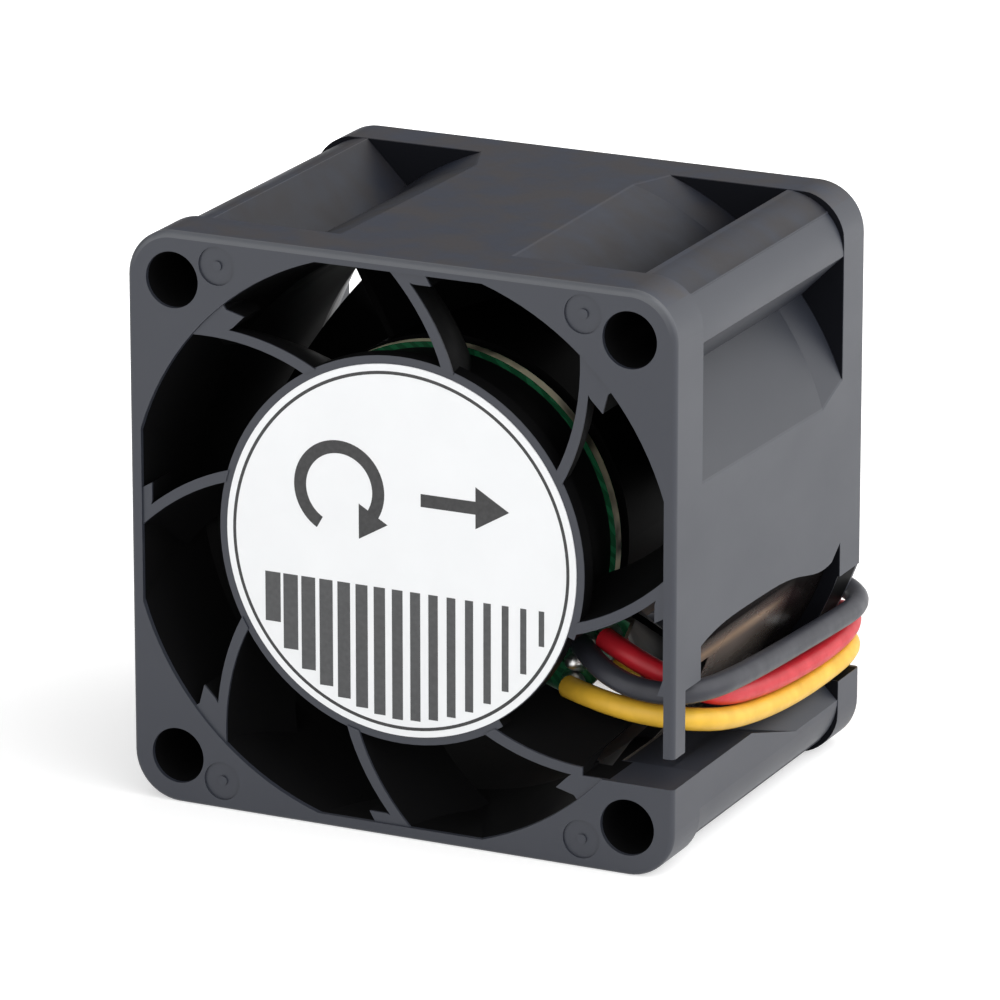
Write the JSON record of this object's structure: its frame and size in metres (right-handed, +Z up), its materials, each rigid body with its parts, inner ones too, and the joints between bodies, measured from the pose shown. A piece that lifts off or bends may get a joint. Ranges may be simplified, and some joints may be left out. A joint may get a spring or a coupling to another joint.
{
  "type": "cooling fan",
  "caption": "Square axial cooling fan with curved outlet vanes, a labelled hub, a turning impeller inside and coloured flying leads led out through a corner slot.",
  "frame": {"origin": "under the middle of the fan, on the surface that it stands on", "axes": "+Z up, +Y along the fan axis from the label side to the air inlet, +X to the side where the leads come out"},
  "size_m": [0.0371, 0.0564, 0.036],
  "materials": {
    "frame_plastic": "fine-textured glass-filled moulding, charcoal",
    "impeller_plastic": "moulded, black",
    "label_film": "satin printed film",
    "tube_brass": "turned",
    "shaft_steel": "ground",
    "spring_steel": "bright strip",
    "bearing_steel": "polished",
    "yoke_steel": "drawn sheet",
    "core_steel": "stacked laminations",
    "ferrite": "sintered, dark grey",
    "insulator_nylon": "natural nylon",
    "copper_wire": "enamelled winding wire",
    "board_green": "green solder mask over laminate",
    "chip_black": "moulded",
    "capacitor_tan": "fired",
    "solder": "bright tin",
    "wire_yellow": "extruded insulation",
    "wire_red": "extruded insulation",
    "wire_black": "extruded insulation",
    "tie_black": "moulded strap"
  },
  "bodies": {
    "housing": {"frame": "frame_plastic", "hub_label": "label_film", "bearing_tube": "tube_brass", "front_bearing_outer_ring": "bearing_steel", "front_bearing_shields": "yoke_steel", "rear_bearing_outer_ring": "bearing_steel", "rear_bearing_shields": "yoke_steel", "stator_core": "core_steel", "front_insulator": "insulator_nylon", "rear_insulator": "insulator_nylon", "stator_coils": "copper_wire", "circuit_board": "board_green", "driver_chip": "chip_black", "hall_sensor": "chip_black", "capacitor": "capacitor_tan", "resistors": "chip_black", "solder_joints": "solder", "lead_yellow": "wire_yellow", "lead_red": "wire_red", "lead_black": "wire_black", "lead_coil": "wire_black", "lead_tie": "tie_black", "lead_tips": "solder"},
    "rotor": {"impeller": "impeller_plastic", "rotor_yoke": "yoke_steel", "magnet_ring": "ferrite", "shaft": "shaft_steel", "rotor_bush": "tube_brass", "front_bearing_inner_ring": "bearing_steel", "rear_bearing_inner_ring": "bearing_steel", "retaining_ring": "spring_steel", "preload_spring": "spring_steel"},
    "front_cage": {"front_bearing_balls": "bearing_steel", "front_bearing_cage": "spring_steel"},
    "rear_cage": {"rear_bearing_balls": "bearing_steel", "rear_bearing_cage": "spring_steel"}
  },
  "joints": [
    {"name": "impeller_spin", "type": "hinge", "parent": "housing", "child": "rotor", "pos_m": [0, 0, 0.018], "axis": [0, 1, 0], "continuous": true},
    {"name": "front_cage_spin", "type": "hinge", "parent": "housing", "child": "front_cage", "pos_m": [0, 0, 0.018], "axis": [0, 1, 0], "continuous": true},
    {"name": "rear_cage_spin", "type": "hinge", "parent": "housing", "child": "rear_cage", "pos_m": [0, 0, 0.018], "axis": [0, 1, 0], "continuous": true}
  ],
  "couplings": [
    {"joint": "front_cage_spin", "follows": "impeller_spin", "ratio": 0.4},
    {"joint": "rear_cage_spin", "follows": "impeller_spin", "ratio": 0.4}
  ]
}
